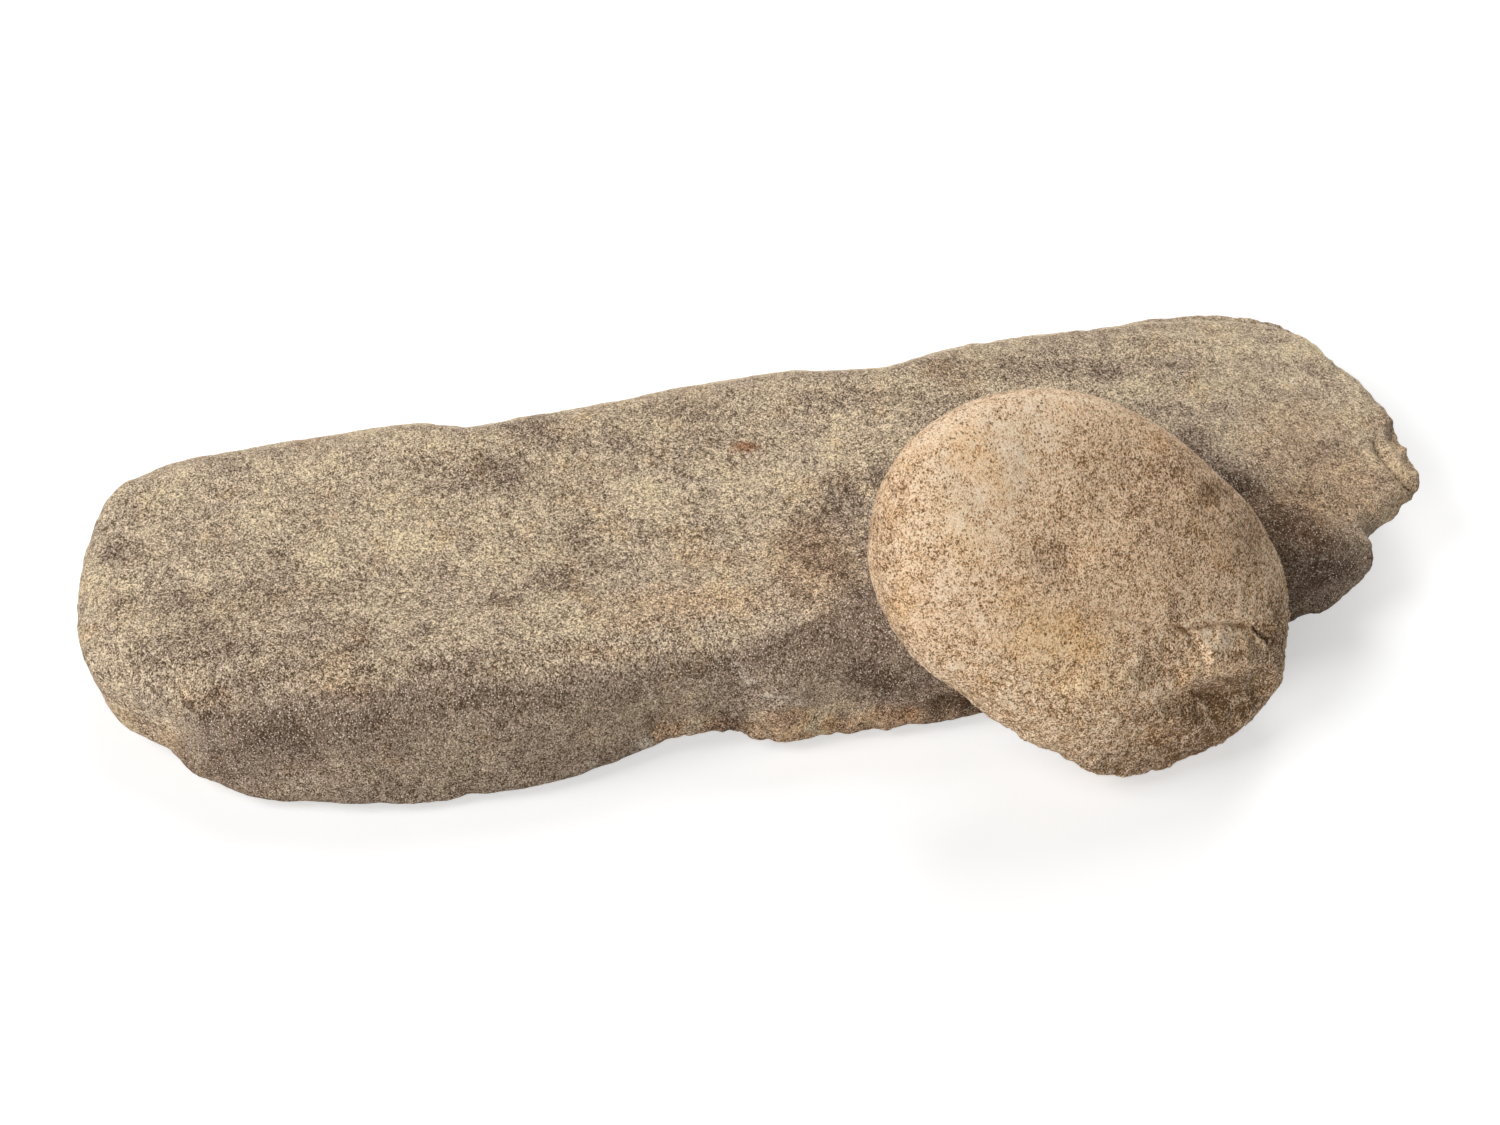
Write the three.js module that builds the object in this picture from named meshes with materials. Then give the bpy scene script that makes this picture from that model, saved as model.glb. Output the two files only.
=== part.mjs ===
// A stone grinding set of two loose pieces: a long sandstone slab with a worn, slightly hollowed
// grinding face, and a rounded hand stone that leans on the slab's front edge with its foot on the
// ground. Lengths are millimetres and angles are degrees. +Z is up, +X runs along the slab, and the
// origin is the middle of the slab's flat resting face.
import * as THREE from "three";
import { mergeVertices } from "three/addons/utils/BufferGeometryUtils.js";

// Slab
const slabLength = 440;
const slabWidth = 152;
const slabThickness = 47;
const wornDepth = 4;
const footRound = 5;
const floorWidth = 22;

// Hand stone
const handLength = 149;
const handWidth = 105;
const handCrown = 30;
const handBelly = 18;

// How the hand stone leans
const leanAngle = 64;
const turnAngle = -44.8;
const yawAngle = 10;
const handAlong = 85.5;
const leanGap = 0.3;

// The slab's rim, anticlockwise from the left end as seen from above. Each row holds the place along
// the slab's length and across its width, then shares of its thickness: the top edge's height, how
// far that edge is rounded inwards, how far the foot is drawn in and how far it lifts off the ground.
const rimShares = [
  [-0.494, 0.132, 0.87, 0.34, 0.14, 0.22],
  [-0.498, -0.01, 0.88, 0.34, 0.12, 0.22],
  [-0.498, -0.09, 0.89, 0.34, 0.1, 0.22],
  [-0.492, -0.152, 0.9, 0.36, 0.08, 0.2],
  [-0.48, -0.196, 0.91, 0.38, 0.05, 0.18],
  [-0.461, -0.242, 0.92, 0.4, 0.04, 0.16],
  [-0.436, -0.31, 0.94, 0.42, 0.04, 0.13],
  [-0.423, -0.355, 0.95, 0.44, 0.02, 0.1],
  [-0.393, -0.405, 0.96, 0.46, 0, 0.06],
  [-0.361, -0.431, 0.96, 0.46, 0, 0.04],
  [-0.332, -0.46, 0.97, 0.46, 0, 0.04],
  [-0.305, -0.474, 0.97, 0.46, 0, 0.04],
  [-0.255, -0.484, 0.97, 0.46, 0, 0.04],
  [-0.209, -0.491, 0.97, 0.46, 0, 0.04],
  [-0.168, -0.484, 0.97, 0.44, 0.01, 0.04],
  [-0.141, -0.47, 0.97, 0.42, 0.02, 0.05],
  [-0.118, -0.452, 0.98, 0.38, 0.02, 0.07],
  [-0.1, -0.45, 0.98, 0.36, 0.03, 0.11],
  [-0.082, -0.453, 0.98, 0.36, 0.05, 0.17],
  [-0.066, -0.457, 0.98, 0.38, 0.06, 0.18],
  [-0.05, -0.462, 0.98, 0.38, 0.05, 0.14],
  [-0.036, -0.472, 0.98, 0.4, 0.03, 0.09],
  [-0.02, -0.487, 0.98, 0.42, 0, 0.05],
  [0.009, -0.479, 0.98, 0.42, 0.01, 0.04],
  [0.036, -0.486, 0.98, 0.42, 0.02, 0.04],
  [0.095, -0.499, 0.97, 0.42, 0.02, 0.04],
  [0.132, -0.49, 0.96, 0.42, 0.02, 0.05],
  [0.2, -0.458, 0.93, 0.4, 0.02, 0.05],
  [0.268, -0.418, 0.9, 0.38, 0.02, 0.05],
  [0.336, -0.385, 0.86, 0.36, 0.02, 0.06],
  [0.375, -0.372, 0.83, 0.34, 0.02, 0.08],
  [0.4, -0.36, 0.81, 0.32, 0.02, 0.11],
  [0.422, -0.35, 0.79, 0.24, 0.02, 0.19],
  [0.437, -0.336, 0.71, 0.14, 0.03, 0.33],
  [0.431, -0.292, 0.76, 0.1, 0.03, 0.4],
  [0.452, -0.256, 0.77, 0.12, 0.06, 0.42],
  [0.476, -0.21, 0.76, 0.12, 0.08, 0.42],
  [0.495, -0.151, 0.75, 0.12, 0.1, 0.4],
  [0.497, -0.079, 0.76, 0.14, 0.12, 0.37],
  [0.498, 0.026, 0.78, 0.16, 0.12, 0.33],
  [0.49, 0.155, 0.8, 0.2, 0.12, 0.29],
  [0.477, 0.24, 0.82, 0.24, 0.12, 0.25],
  [0.459, 0.365, 0.85, 0.26, 0.12, 0.21],
  [0.425, 0.447, 0.87, 0.28, 0.12, 0.17],
  [0.386, 0.475, 0.89, 0.28, 0.14, 0.14],
  [0.336, 0.484, 0.9, 0.28, 0.14, 0.12],
  [0.307, 0.461, 0.9, 0.26, 0.12, 0.12],
  [0.259, 0.477, 0.91, 0.28, 0.14, 0.12],
  [0.209, 0.471, 0.91, 0.28, 0.14, 0.12],
  [0.155, 0.445, 0.92, 0.26, 0.12, 0.12],
  [0.127, 0.425, 0.92, 0.26, 0.12, 0.12],
  [0.066, 0.451, 0.92, 0.28, 0.14, 0.12],
  [0.018, 0.458, 0.92, 0.28, 0.14, 0.12],
  [-0.075, 0.445, 0.92, 0.28, 0.14, 0.12],
  [-0.141, 0.428, 0.92, 0.26, 0.12, 0.12],
  [-0.193, 0.418, 0.92, 0.26, 0.12, 0.12],
  [-0.227, 0.458, 0.92, 0.28, 0.14, 0.12],
  [-0.3, 0.466, 0.91, 0.3, 0.16, 0.13],
  [-0.368, 0.454, 0.91, 0.3, 0.16, 0.14],
  [-0.416, 0.448, 0.9, 0.32, 0.16, 0.16],
  [-0.446, 0.412, 0.89, 0.32, 0.16, 0.18],
  [-0.469, 0.34, 0.88, 0.34, 0.16, 0.2],
  [-0.485, 0.235, 0.87, 0.34, 0.16, 0.22],
];
const samplesPerPoint = 2;
const calmSamples = 5;

// How much of the slab's height the top edge's rounding and the foot's rounding each take up.
const topDropShare = 0.3;
const footDropShare = 0.13;

// Half the length of the line that the rings draw in towards, as a share of the slab's length, and
// where the flat resting face ends, as a share of the way out from that line to the foot.
const spineShare = 0.33;
const restingShare = 0.5;

// Flake scars, each a ball-shaped bite: its middle as shares of the slab's length, width and
// thickness, and its radius as a share of the slab's width.
const scarShares = [
  [0.51, -0.06, 1.32, 0.2],
  [-0.066, -0.62, 0.02, 0.19],
];

// How far the hand stone's outline stands out of a plain ellipse, at even steps round from its
// lower end, as shares of the ellipse's radius.
const bulgeShares = [
  1.03, 0.985, 0.99, 0.975, 0.94, 0.965, 0.985, 0.98, 0.985, 1.005, 1.035, 1.07, 1.06, 0.99, 1,
  1.065, 1.04, 1.025,
];
const handBoxiness = 2.4;
const handDetail = 10;

// Facets worn on the hand stone: the way each one faces, and where it cuts that way as a share of
// the stone's crown or belly. A facet keeps this share of the roundness that it cuts.
const facetKeepShare = 0.5;
const facetShares = [
  { faces: [0.4, -0.4, 0.9], atShare: 1.3 },
  { faces: [-0.3, 0.35, 0.9], atShare: 1.08 },
];

/** A closed solid from rings of points, each ring the same length, with a flat lid at both ends. */
function solidFromRings(rings) {
  const count = rings[0].length;
  const positions = rings.flat().flatMap((point) => point.toArray());
  const index = [];
  for (let ring = 0; ring + 1 < rings.length; ring++) {
    for (let i = 0; i < count; i++) {
      const next = (i + 1) % count;
      const a = ring * count + i;
      const b = ring * count + next;
      index.push(a, a + count, b, b, a + count, b + count);
    }
  }
  const lid = (ring, facesUp) => {
    const outline = rings[ring].map((point) => new THREE.Vector2(point.x, point.y));
    for (const [a, b, c] of THREE.ShapeUtils.triangulateShape(outline, [])) {
      const corners = facesUp ? [a, b, c] : [a, c, b];
      index.push(...corners.map((corner) => ring * count + corner));
    }
  };
  lid(0, true);
  lid(rings.length - 1, false);
  const geometry = new THREE.BufferGeometry();
  geometry.setAttribute("position", new THREE.Float32BufferAttribute(positions, 3));
  geometry.setIndex(index);
  return geometry;
}

/** Moves a point out of a ball, so that the ball leaves a hollow scar. */
function bite(point, scar) {
  const away = point.clone().sub(scar.centre);
  return away.length() < scar.radius
    ? scar.centre.clone().add(away.setLength(scar.radius))
    : point;
}

/** The middle of the values round a closed list, from a number of places before to as many after. */
function evened(list, index, reach, valueOf) {
  const sum = new THREE.Vector3();
  for (let offset = -reach; offset <= reach; offset++) {
    sum.add(valueOf(list[(index + offset + list.length) % list.length]));
  }
  return sum.divideScalar(2 * reach + 1);
}

/** The slab's rim: the outline in plan, and the edge sizes that go with each of its points. */
function slabRim() {
  const curve = (points) => new THREE.CatmullRomCurve3(points, true, "centripetal");
  const size = (shares) => new THREE.Vector3(...shares).multiplyScalar(slabThickness);
  const plan = curve(
    rimShares.map(([along, across]) => new THREE.Vector3(along * slabLength, across * slabWidth)),
  );
  const upper = curve(rimShares.map(([, , top, round]) => size([top, round, 0])));
  const lower = curve(rimShares.map(([, , , , inset, lift]) => size([inset, lift, 0])));
  const count = rimShares.length * samplesPerPoint;
  const rim = Array.from({ length: count }, (_, i) => {
    const [top, round] = upper.getPoint(i / count).toArray();
    const [inset, lift] = lower.getPoint(i / count).toArray();
    const shoulder = top - (top - lift) * topDropShare;
    const ankle = lift + (top - lift) * footDropShare;
    return { at: plan.getPoint(i / count), top, round, shoulder, inset, ankle, lift };
  });
  const edgeOf = (sample) => sample.at.clone().setZ(sample.top);
  return rim.map((sample, i) => ({ ...sample, calm: evened(rim, i, calmSamples, edgeOf) }));
}

/** The slab, as rings from the flat floor of the worn face, over the rim, to the resting face. */
function slabGeometry() {
  const { lerp, degToRad, smoothstep } = THREE.MathUtils;
  const rim = slabRim();
  const spine = spineShare * slabLength;
  const scars = scarShares.map(([along, across, up, radius]) => ({
    centre: new THREE.Vector3(along * slabLength, across * slabWidth, up * slabThickness),
    radius: radius * slabWidth,
  }));
  // A point drawn in from the rim by a length, then moved part of the way out from the spine to
  // there. The rim's nicks fade from the points further in.
  const drawnIn = (sample, inset, share, z) => {
    const edge = sample.calm.clone().lerp(sample.at, share ** 4).setZ(0);
    const anchor = new THREE.Vector3(THREE.MathUtils.clamp(edge.x, -spine, spine), 0, 0);
    const out = edge.sub(anchor);
    const reach = lerp(floorWidth / 2, out.length() - inset, share);
    return anchor.add(out.setLength(reach)).setZ(z);
  };
  const rings = [];
  const addRing = (pointOf) => rings.push(rim.map((sample) => scars.reduce(bite, pointOf(sample))));
  const floor = slabThickness - wornDepth;
  for (const share of [0, 0.25, 0.5, 0.75, 1]) {
    const rise = smoothstep(share, 0, 1);
    const edgeHeight = (at) => lerp(at.calm.z, at.top, share ** 4);
    addRing((at) => drawnIn(at, at.round, share, lerp(floor, edgeHeight(at), rise)));
  }
  for (const angle of [22, 45, 68, 90].map(degToRad)) {
    const turned = 1 - Math.cos(angle);
    addRing((at) =>
      drawnIn(at, at.round * (1 - Math.sin(angle)), 1, lerp(at.top, at.shoulder, turned)),
    );
  }
  for (const share of [0.5, 1]) {
    addRing((at) => drawnIn(at, at.inset * share, 1, lerp(at.shoulder, at.ankle, share)));
  }
  for (const angle of [45, 90].map(degToRad)) {
    const turned = Math.sin(angle);
    addRing((at) =>
      drawnIn(at, at.inset + footRound * (1 - Math.cos(angle)), 1, lerp(at.ankle, at.lift, turned)),
    );
  }
  for (const part of [0.67, 0.33, 0]) {
    const share = lerp(restingShare, 1, part);
    addRing((at) => drawnIn(at, at.inset + footRound, share, at.lift * part * part));
  }
  return solidFromRings(rings);
}

/** A value between evenly spaced ones round a closed loop, at a turn from 0 to 1. */
function roundTable(table, turn) {
  const place = (turn - Math.floor(turn)) * table.length;
  const at = (offset) => table[(Math.floor(place) + offset + table.length) % table.length];
  const part = place - Math.floor(place);
  const smooth = part * part * (3 - 2 * part);
  return THREE.MathUtils.lerp(at(0), at(1), smooth);
}

/** The hand stone about its own middle: long side along X, broad faces up and down. */
function handGeometry() {
  const ball = new THREE.IcosahedronGeometry(1, handDetail);
  ball.deleteAttribute("normal");
  ball.deleteAttribute("uv");
  const geometry = mergeVertices(ball);
  const points = geometry.getAttribute("position");
  const facets = facetShares.map(({ faces, atShare }) => {
    const facing = new THREE.Vector3(...faces).normalize();
    return { facing, at: atShare * (facing.z > 0 ? handCrown : handBelly) };
  });
  for (let i = 0; i < points.count; i++) {
    const unit = new THREE.Vector3().fromBufferAttribute(points, i);
    const flat = Math.hypot(unit.x, unit.y) ** handBoxiness;
    const upright = Math.abs(unit.z) ** handBoxiness;
    unit.divideScalar((flat + upright) ** (1 / handBoxiness));
    const bulge = roundTable(bulgeShares, Math.atan2(unit.y, unit.x) / (2 * Math.PI));
    const point = new THREE.Vector3(
      (unit.x * bulge * handLength) / 2,
      (unit.y * bulge * handWidth) / 2,
      unit.z * (unit.z > 0 ? handCrown : handBelly),
    );
    for (const { facing, at } of facets) {
      const over = point.dot(facing) - at;
      if (over > 0) point.addScaledVector(facing, -over * (1 - facetKeepShare));
    }
    points.setXYZ(i, point.x, point.y, point.z);
  }
  return geometry;
}

/** The corners of a mesh in the part's frame. */
function worldPoints(mesh) {
  mesh.updateWorldMatrix(true, false);
  const points = mesh.geometry.getAttribute("position");
  return Array.from({ length: points.count }, (_, i) =>
    new THREE.Vector3().fromBufferAttribute(points, i).applyMatrix4(mesh.matrixWorld),
  );
}

/** The shortest way from any of some points to a mesh along one direction. */
function clearWay(points, mesh, direction) {
  const ray = new THREE.Raycaster();
  return points.reduce((least, point) => {
    ray.set(point, direction);
    const [hit] = ray.intersectObject(mesh);
    return hit ? Math.min(least, hit.distance) : least;
  }, Infinity);
}

/** Stands the leaning stone on the ground, then slides it back until it all but touches the slab. */
function leanOn(leaning, stone, slab) {
  leaning.position.set(handAlong, -slabWidth - handLength, 0);
  leaning.position.z = -Math.min(...worldPoints(stone).map((point) => point.z));
  const back = new THREE.Vector3(0, 1, 0);
  const forward = new THREE.Vector3(0, -1, 0);
  const way = Math.min(
    clearWay(worldPoints(stone), slab, back),
    clearWay(worldPoints(slab), stone, forward),
  );
  leaning.position.y += way - leanGap;
}

const sandstone = (color) =>
  new THREE.MeshStandardMaterial({ color, roughness: 0.95, metalness: 0 });

const slab = new THREE.Mesh(slabGeometry(), sandstone(0x9c8a72));
slab.name = "grinding_slab";

const stone = new THREE.Mesh(handGeometry(), sandstone(0xb4956f));
stone.name = "hand_stone";
stone.rotation.z = THREE.MathUtils.degToRad(turnAngle);

const leaning = new THREE.Group();
leaning.rotation.order = "ZXY";
leaning.rotation.x = THREE.MathUtils.degToRad(leanAngle);
leaning.rotation.z = THREE.MathUtils.degToRad(yawAngle);
leaning.add(stone);

const grindingSet = new THREE.Group();
grindingSet.add(slab, leaning);
leanOn(leaning, stone, slab);

export default grindingSet;
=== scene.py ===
import math

import bmesh
import bpy
import numpy as np
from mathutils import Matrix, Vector, noise


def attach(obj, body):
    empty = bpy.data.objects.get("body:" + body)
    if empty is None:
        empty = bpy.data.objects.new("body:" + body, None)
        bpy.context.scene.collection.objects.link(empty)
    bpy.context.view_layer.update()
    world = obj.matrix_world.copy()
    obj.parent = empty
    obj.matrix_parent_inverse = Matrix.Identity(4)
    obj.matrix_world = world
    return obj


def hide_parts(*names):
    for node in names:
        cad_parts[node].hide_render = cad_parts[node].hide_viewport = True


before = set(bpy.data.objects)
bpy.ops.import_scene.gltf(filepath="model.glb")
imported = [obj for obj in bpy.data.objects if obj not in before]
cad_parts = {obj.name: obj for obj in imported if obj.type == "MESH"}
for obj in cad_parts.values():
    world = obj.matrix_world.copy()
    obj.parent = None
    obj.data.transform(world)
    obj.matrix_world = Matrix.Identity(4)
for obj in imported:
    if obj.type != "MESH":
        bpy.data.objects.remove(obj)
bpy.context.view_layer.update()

bl_info = {
    "name": "Metate Grinding Stone",
    "version": (1, 0, 0),
    "blender": (4, 5, 0),
    "location": "3D View > Sidebar > Metate",
    "description": "Dresses a worn sandstone grinding slab and its hand stone",
    "category": "Object",
}

MM = 0.001

# The camera, and the photograph that it stands for: millimetres, degrees and pixels
LENS, SENSOR = 85, 36
CAMERA_TURN, CAMERA_RISE = -12.5, 42
CAMERA_AIM = (-4, -4, 20)
CAMERA_AWAY = 1150
PHOTO_WIDTH, PHOTO_HEIGHT = 1500, 1125

# The lamps: name, turn and rise in degrees, and the stage's property that holds its power
LAMPS = (
    ("Left lamp", -76, 46, "left_power"),
    ("Back lamp", 150, 26, "back_power"),
    ("Front lamp", -30, 28, "front_power"),
    ("Top lamp", 165, 62, "top_power"),
)

# The floor's reach from the middle, and its drop under the stones, in metres
FLOOR_REACH = 4
FLOOR_DROP = 0.0003

# Copies of the CAD solids: metres within which points merge, strength and steps of smoothing, and
# how low in millimetres, how level and how bent in degrees a resting face is
MERGE = 1e-6
SMOOTHING = 0.5
SLAB_STEPS, HAND_STEPS = 12, 30
FOOT_HEIGHT, FOOT_LEVEL, FOOT_BEND = 0.1, -0.999, 1

# Noise: how far apart two seeds lie, how fast its finer waves fade, and how much finer each is
SEED_STEPS = (13.7, 7.1, 3.3)
WAVE_FADE, WAVE_FINER = 1.0, 2.0

# Waves in the skins: width and height in millimetres, and the noise's seed
SLAB_SWELL = (42, 0.45, 4)
SLAB_ROLL = (15, 0.25, 5)
SLAB_SIDE_WAVES = (9, 0.55, 6)
SLAB_CHIPS = (6, 0.9, 7)
HAND_SWELL = (30, 0.5, 14)
HAND_ROLL = (10, 0.22, 15)

# Fine relief: width in millimetres, and the noise's seed and octaves
SLAB_FINE = (4.5, 8, 4)
HAND_LUMPS = (3.6, 16, 3)
HAND_GRIT = (1.5, 17, 2)

# Its height in millimetres on worn stone, and what rounded, rugged or ragged stone adds
SLAB_WORN, SLAB_ROUNDED, SLAB_RUGGED = 0.13, 0.16, 0.25
LUMPS_WORN, LUMPS_RAGGED = 0.14, 0.5
GRIT_WORN, GRIT_RAGGED = 0.08, 0.2

# How much calmer the slab's roll is on its flat top, and the hand stone's relief on its back
FLAT_CALMER, BACK_CALMER = 0.5, 0.6

# Painted shade in the hand stone's hollows: lumps' and grit's shares of their noise, and how strong it is
HOLLOW_LUMPS, HOLLOW_GRIT = 0.7, 0.6
HOLLOW_SHADE_WORN, HOLLOW_SHADE_RAGGED = 0.65, 0.35

# How strong the calm masks are at the slab's right end and back, and on the hand stone's top
CALM_END, CALM_BACK, HAND_CALM = 0.5, 0.7, 0.8

# How cracks and marks stray: width in millimetres, the noise's seeds, and reach in pixels
SLAB_WAVER = (7, (1, 2), 4)
SLAB_JAGS = (2.5, (3, 4), 1.5)
HAND_WAVER = (6, (11, 12), 4)
HAND_JAGS = (2, (13, 18), 1.5)

# The share of that wavering in each kind of mark
CRACK_STRAY, SPOT_STRAY, MARK_STRAY = 0.3, 0.5, 1.8
SLAB_DENT_STRAY, RAW_STRAY, CRUST_STRAY, CRUST_FOOT_STRAY = 0.5, 1, 1.5, 2
HAND_DENT_STRAY, HAND_MARK_STRAY = 1, 1.5

# Where zones of the stones begin and are full, by place in millimetres
RAW_FOOT_X = (-60, -50)
BROKEN_END_X = (180, 198)
CALM_END_X = (120, 195)
CALM_BACK_Y = (45, 66)
ABOVE_GROUND_Z = (1, 3)
ABOVE_DUST_Z = (1.5, 4.5)
ABOVE_RAGGED_Z = (45, 75)

# By the direction that a skin faces, where 1 is straight up, down, forwards or back
FACES_UP = (0.9, 0.985)
FACES_DOWN = (0.5, 0.9)
LEVEL = (0.55, 0.9)
FACES_FRONT = (0.2, 0.6)
FACES_BACK = (0.1, 0.4)
LEANS_UP = (0, 0.3)

# By how far it faces the camera
CRACKS_SHOW = (-0.2, 0.2)
DENTS_SHOW = (-0.4, 0)
MARKS_SHOW = (0, 0.3)
CRUST_SHOWS = (-0.5, -0.1)
# Where the painted highlight along rims that turn from the camera fades out
RIM_HIGHLIGHT_FACING = (0.05, 0.45)

# By noise: hollows in the skins, where shade is painted, and gaps in the slab's raw foot, with the gaps'
# width and seed
SLAB_SHADED_HOLLOWS = (-0.15, 0.75)
HAND_SHADED_HOLLOWS = (-0.2, 0.8)
RAW_GAPS = (-0.6, -0.1)
RAW_GAP_NOISE = (8, 9)

# A crack's lip, in half widths: how far it lies from the middle, and its own width
LIP_AWAY, LIP_WIDTH = 2.2, 1.5

# A round mark, in shares of its reach: where it stops being full, and where it ends
MARK_CORE, MARK_END = 0.3, 1.2

# Flecks in marks: width in millimetres, where the noise begins and is full, the least that is left
# of a mark, what flecks add, and the seeds of the dark and pale marks
FLECK_WIDTH = 3
FLECK_NOISE = (-0.5, 0.5)
FLECK_LEAST, FLECK_MORE = 0.65, 0.7
SLAB_FLECKS = (21, 22)
HAND_FLECKS = (23, 24)

# The largest value that a mask may have
MASK_TOP = 1.5

# How the sand's pattern is scaled along each axis
GRAIN_STRETCH = (1.0, 0.75, 0.85)

# The sand's other patterns, in shares of the grains' scale, and their shares of its tone
FINE_GRAINS, CLUMPS, LARGE_PITS, CLOUDS = 1.5, 0.5, 0.25, 0.13
GRAIN_TONE, CLUMP_TONE, CLOUD_TONE = 0.55, 0.3, 1.1

# How far from a cell's middle a glint, pit or rim ends and is full, and the large pits' share
GLINT_REACH = (0.55, 0.3)
SMALL_PIT, SMALL_RIM = (0.36, 0.16), (0.6, 0.25)
LARGE_PIT, LARGE_RIM = (0.26, 0.12), (0.45, 0.2)
LARGE_PIT_SHARE = 0.6

# The sand's heights, where a grain's own dome is 1 high
GRAIN_STEP, CLUMP_STEP, PIT_DEPTH = 0.8, 0.9, 2.2

# What masks change in the sand's pattern, and the open pits of plain, clustered and dark sand
CALM_CONTRAST, CRUST_CONTRAST, CRUST_CLUMPS, CRUST_PITS = -0.5, -0.35, -0.5, -0.8
PLAIN_PITS, CLUSTER_PITS, DARK_PITS = 0.3, 1.4, 0.25

# Where the ramp of the sand's colours starts and ends, how strongly its details cover it, and the
# tones of the grains between which chalk begins to cover them
RAMP_START, RAMP_END = 0.06, 0.94
RIM_STRENGTH, PIT_STRENGTH, GLINT_STRENGTH = 0.7, 0.85, 0.85
CHALK_GRAINS = (-0.25, 0.2)

# The sand's finish, and the height of its relief in widths of a grain
SAND_ROUGHNESS, SAND_SPECULAR = 0.92, 0.25
RELIEF_HEIGHT = 0.6

# Patches in the sand: scale, roughness, and the noise where they begin and are full
PIT_CLUSTERS = (120.0, 0.6, 0.4, 0.62)
SLAB_SMALL_CLOUDS = (62.0, 0.75, 0.3, 0.7)
SLAB_WIDE_CLOUDS = (11.0, 0.5, 0.35, 0.65)
SLAB_RUST = (70.0, 0.6, 0.54, 0.7)
HAND_SMALL_CLOUDS = (70.0, 0.75, 0.3, 0.7)
HAND_WIDE_CLOUDS = (14.0, 0.5, 0.35, 0.65)
HAND_RUST = (45.0, 0.6, 0.52, 0.68)

# What makes the sand darker or paler: patches or a mask, and how much
SLAB_SHIFTS = (
    (SLAB_SMALL_CLOUDS, 0.15),
    (SLAB_WIDE_CLOUDS, 0.05),
    # The dark marks: darker stone and painted shade
    ("dark", -0.2),
    # The pale marks: paler stone and painted light
    ("pale", 0.13),
    # Painted shade in the low spots of the fine relief
    ("hollow", -0.08),
    # The dark crust, which also paints the hand stone's shadow, and painted light where it thins at the
    # foot
    ("crust", -0.25),
    ("raw", -0.05),
    # A painted highlight along rims that turn from the camera and lean up
    ("edge", 0.25),
)
HAND_SHIFTS = (
    (HAND_SMALL_CLOUDS, 0.16),
    (HAND_WIDE_CLOUDS, 0.05),
    # The dark marks: darker stone and painted shade
    ("dark", -0.38),
    # The pale marks: paler stone and painted light
    ("pale", 0.23),
    # Painted shade in the low spots of the fine relief
    ("hollow", -0.22),
)

# What tints the sand: patches or a mask, the tint, and its strength
SLAB_TINTS = (
    (SLAB_SMALL_CLOUDS, (1.0, 1.0, 0.91), 1.0),
    (SLAB_RUST, (1.0, 0.88, 0.74), 0.5),
    ("warm", (1.0, 0.88, 0.76), 0.9),
    # Tints the dark marks and their painted shade greyer
    ("dark", (0.9, 0.89, 0.95), 0.8),
    # Tints the pale marks and their painted light
    ("pale", (1.0, 1.0, 0.94), 0.8),
    ("crust", (0.93, 0.92, 1.0), 1.0),
    ("raw", (1.0, 0.84, 0.73), 0.8),
    ("stain", (0.62, 0.36, 0.24), 1.0),
)
HAND_TINTS = (
    (HAND_RUST, (1.0, 0.87, 0.68), 0.5),
    # Tints the painted shade in the hollows
    ("hollow", (1.0, 0.93, 0.82), 0.8),
    ("ochre", (1.0, 0.93, 0.76), 0.8),
    # Tints the dark marks and their painted shade bluer
    ("dark", (0.88, 0.91, 1.0), 1.0),
    # Tints the pale marks and their painted light
    ("pale", (0.97, 0.98, 1.0), 1.0),
)

# Cracks: pixels of the photograph along one, half width there, depth in millimetres,
# and the lip's height in millimetres and its side
SLAB_CRACKS = (
    (
        ((786, 643), (801, 630), (812, 627), (820, 621), (830, 619), (838, 611), (850, 609), (874, 606)),
        2.2, 1.0, 0.7, (0, -1),
    ),
    (((874, 606), (884, 614), (890, 626), (902, 634)), 2.6, 0.8, 0.3, (1, 0)),
    (((876, 650), (882, 655), (888, 652)), 2.6, 1.0, 0.2, (0, -1)),
    (((1376, 442), (1382, 453), (1391, 465), (1400, 477), (1410, 488)), 3.2, 3.2, 1.0, (1, -1)),
    (((652, 716), (654, 727), (653, 737)), 2.6, 2.2, 0.3, (1, 0)),
)
HAND_CRACKS = (
    (
        ((1180, 628), (1190, 632), (1204, 628), (1222, 625), (1240, 625), (1254, 627), (1268, 640)),
        2.4, 2.0, 0.7, (0, 1),
    ),
    (((1090, 616), (1108, 612), (1128, 618), (1142, 622), (1158, 628), (1180, 628)), 2.8, 0.9, 0.3, (0, 1)),
    (((1190, 632), (1194, 644), (1202, 655)), 3.0, 1.0, 0.3, (1, 0)),
    (((1202, 655), (1206, 672), (1200, 688)), 3.2, 0.8, 0.3, (1, 0)),
    (((1150, 715), (1175, 706), (1200, 700), (1222, 706), (1240, 700)), 3.2, 1.0, 0.5, (0, -1)),
)

# Dents and swellings: middle and reach in pixels, and how far the skin moves outwards in millimetres
SLAB_DENTS = (
    ((946, 707), (13, 13), -4.0), ((915, 712), (15, 9), -1.2), ((752, 738), (16, 8), 2.4),
    ((712, 728), (34, 8), 2.2), ((868, 636), (34, 22), -1.0), ((846, 520), (22, 70), -1.2),
    ((1338, 370), (9, 9), -1.0), ((1372, 402), (8, 8), -1.0), ((1399, 436), (12, 16), -2.0),
    ((1412, 462), (10, 12), -2.0), ((1411, 500), (9, 9), 1.2), ((1373, 563), (10, 14), 1.6),
    ((1350, 592), (12, 12), -0.8), ((1306, 618), (12, 10), -0.8), ((1207, 318), (100, 20), -3.0),
    ((1280, 332), (26, 14), -1.4), ((1040, 338), (80, 14), -1.0), ((600, 406), (90, 12), -0.8),
    ((112, 494), (34, 34), 1.8), ((188, 768), (30, 22), 2.2), ((430, 800), (50, 8), 1.2),
    ((1330, 608), (40, 8), 1.2), ((1246, 504), (16, 22), -2.5),
)
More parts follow.
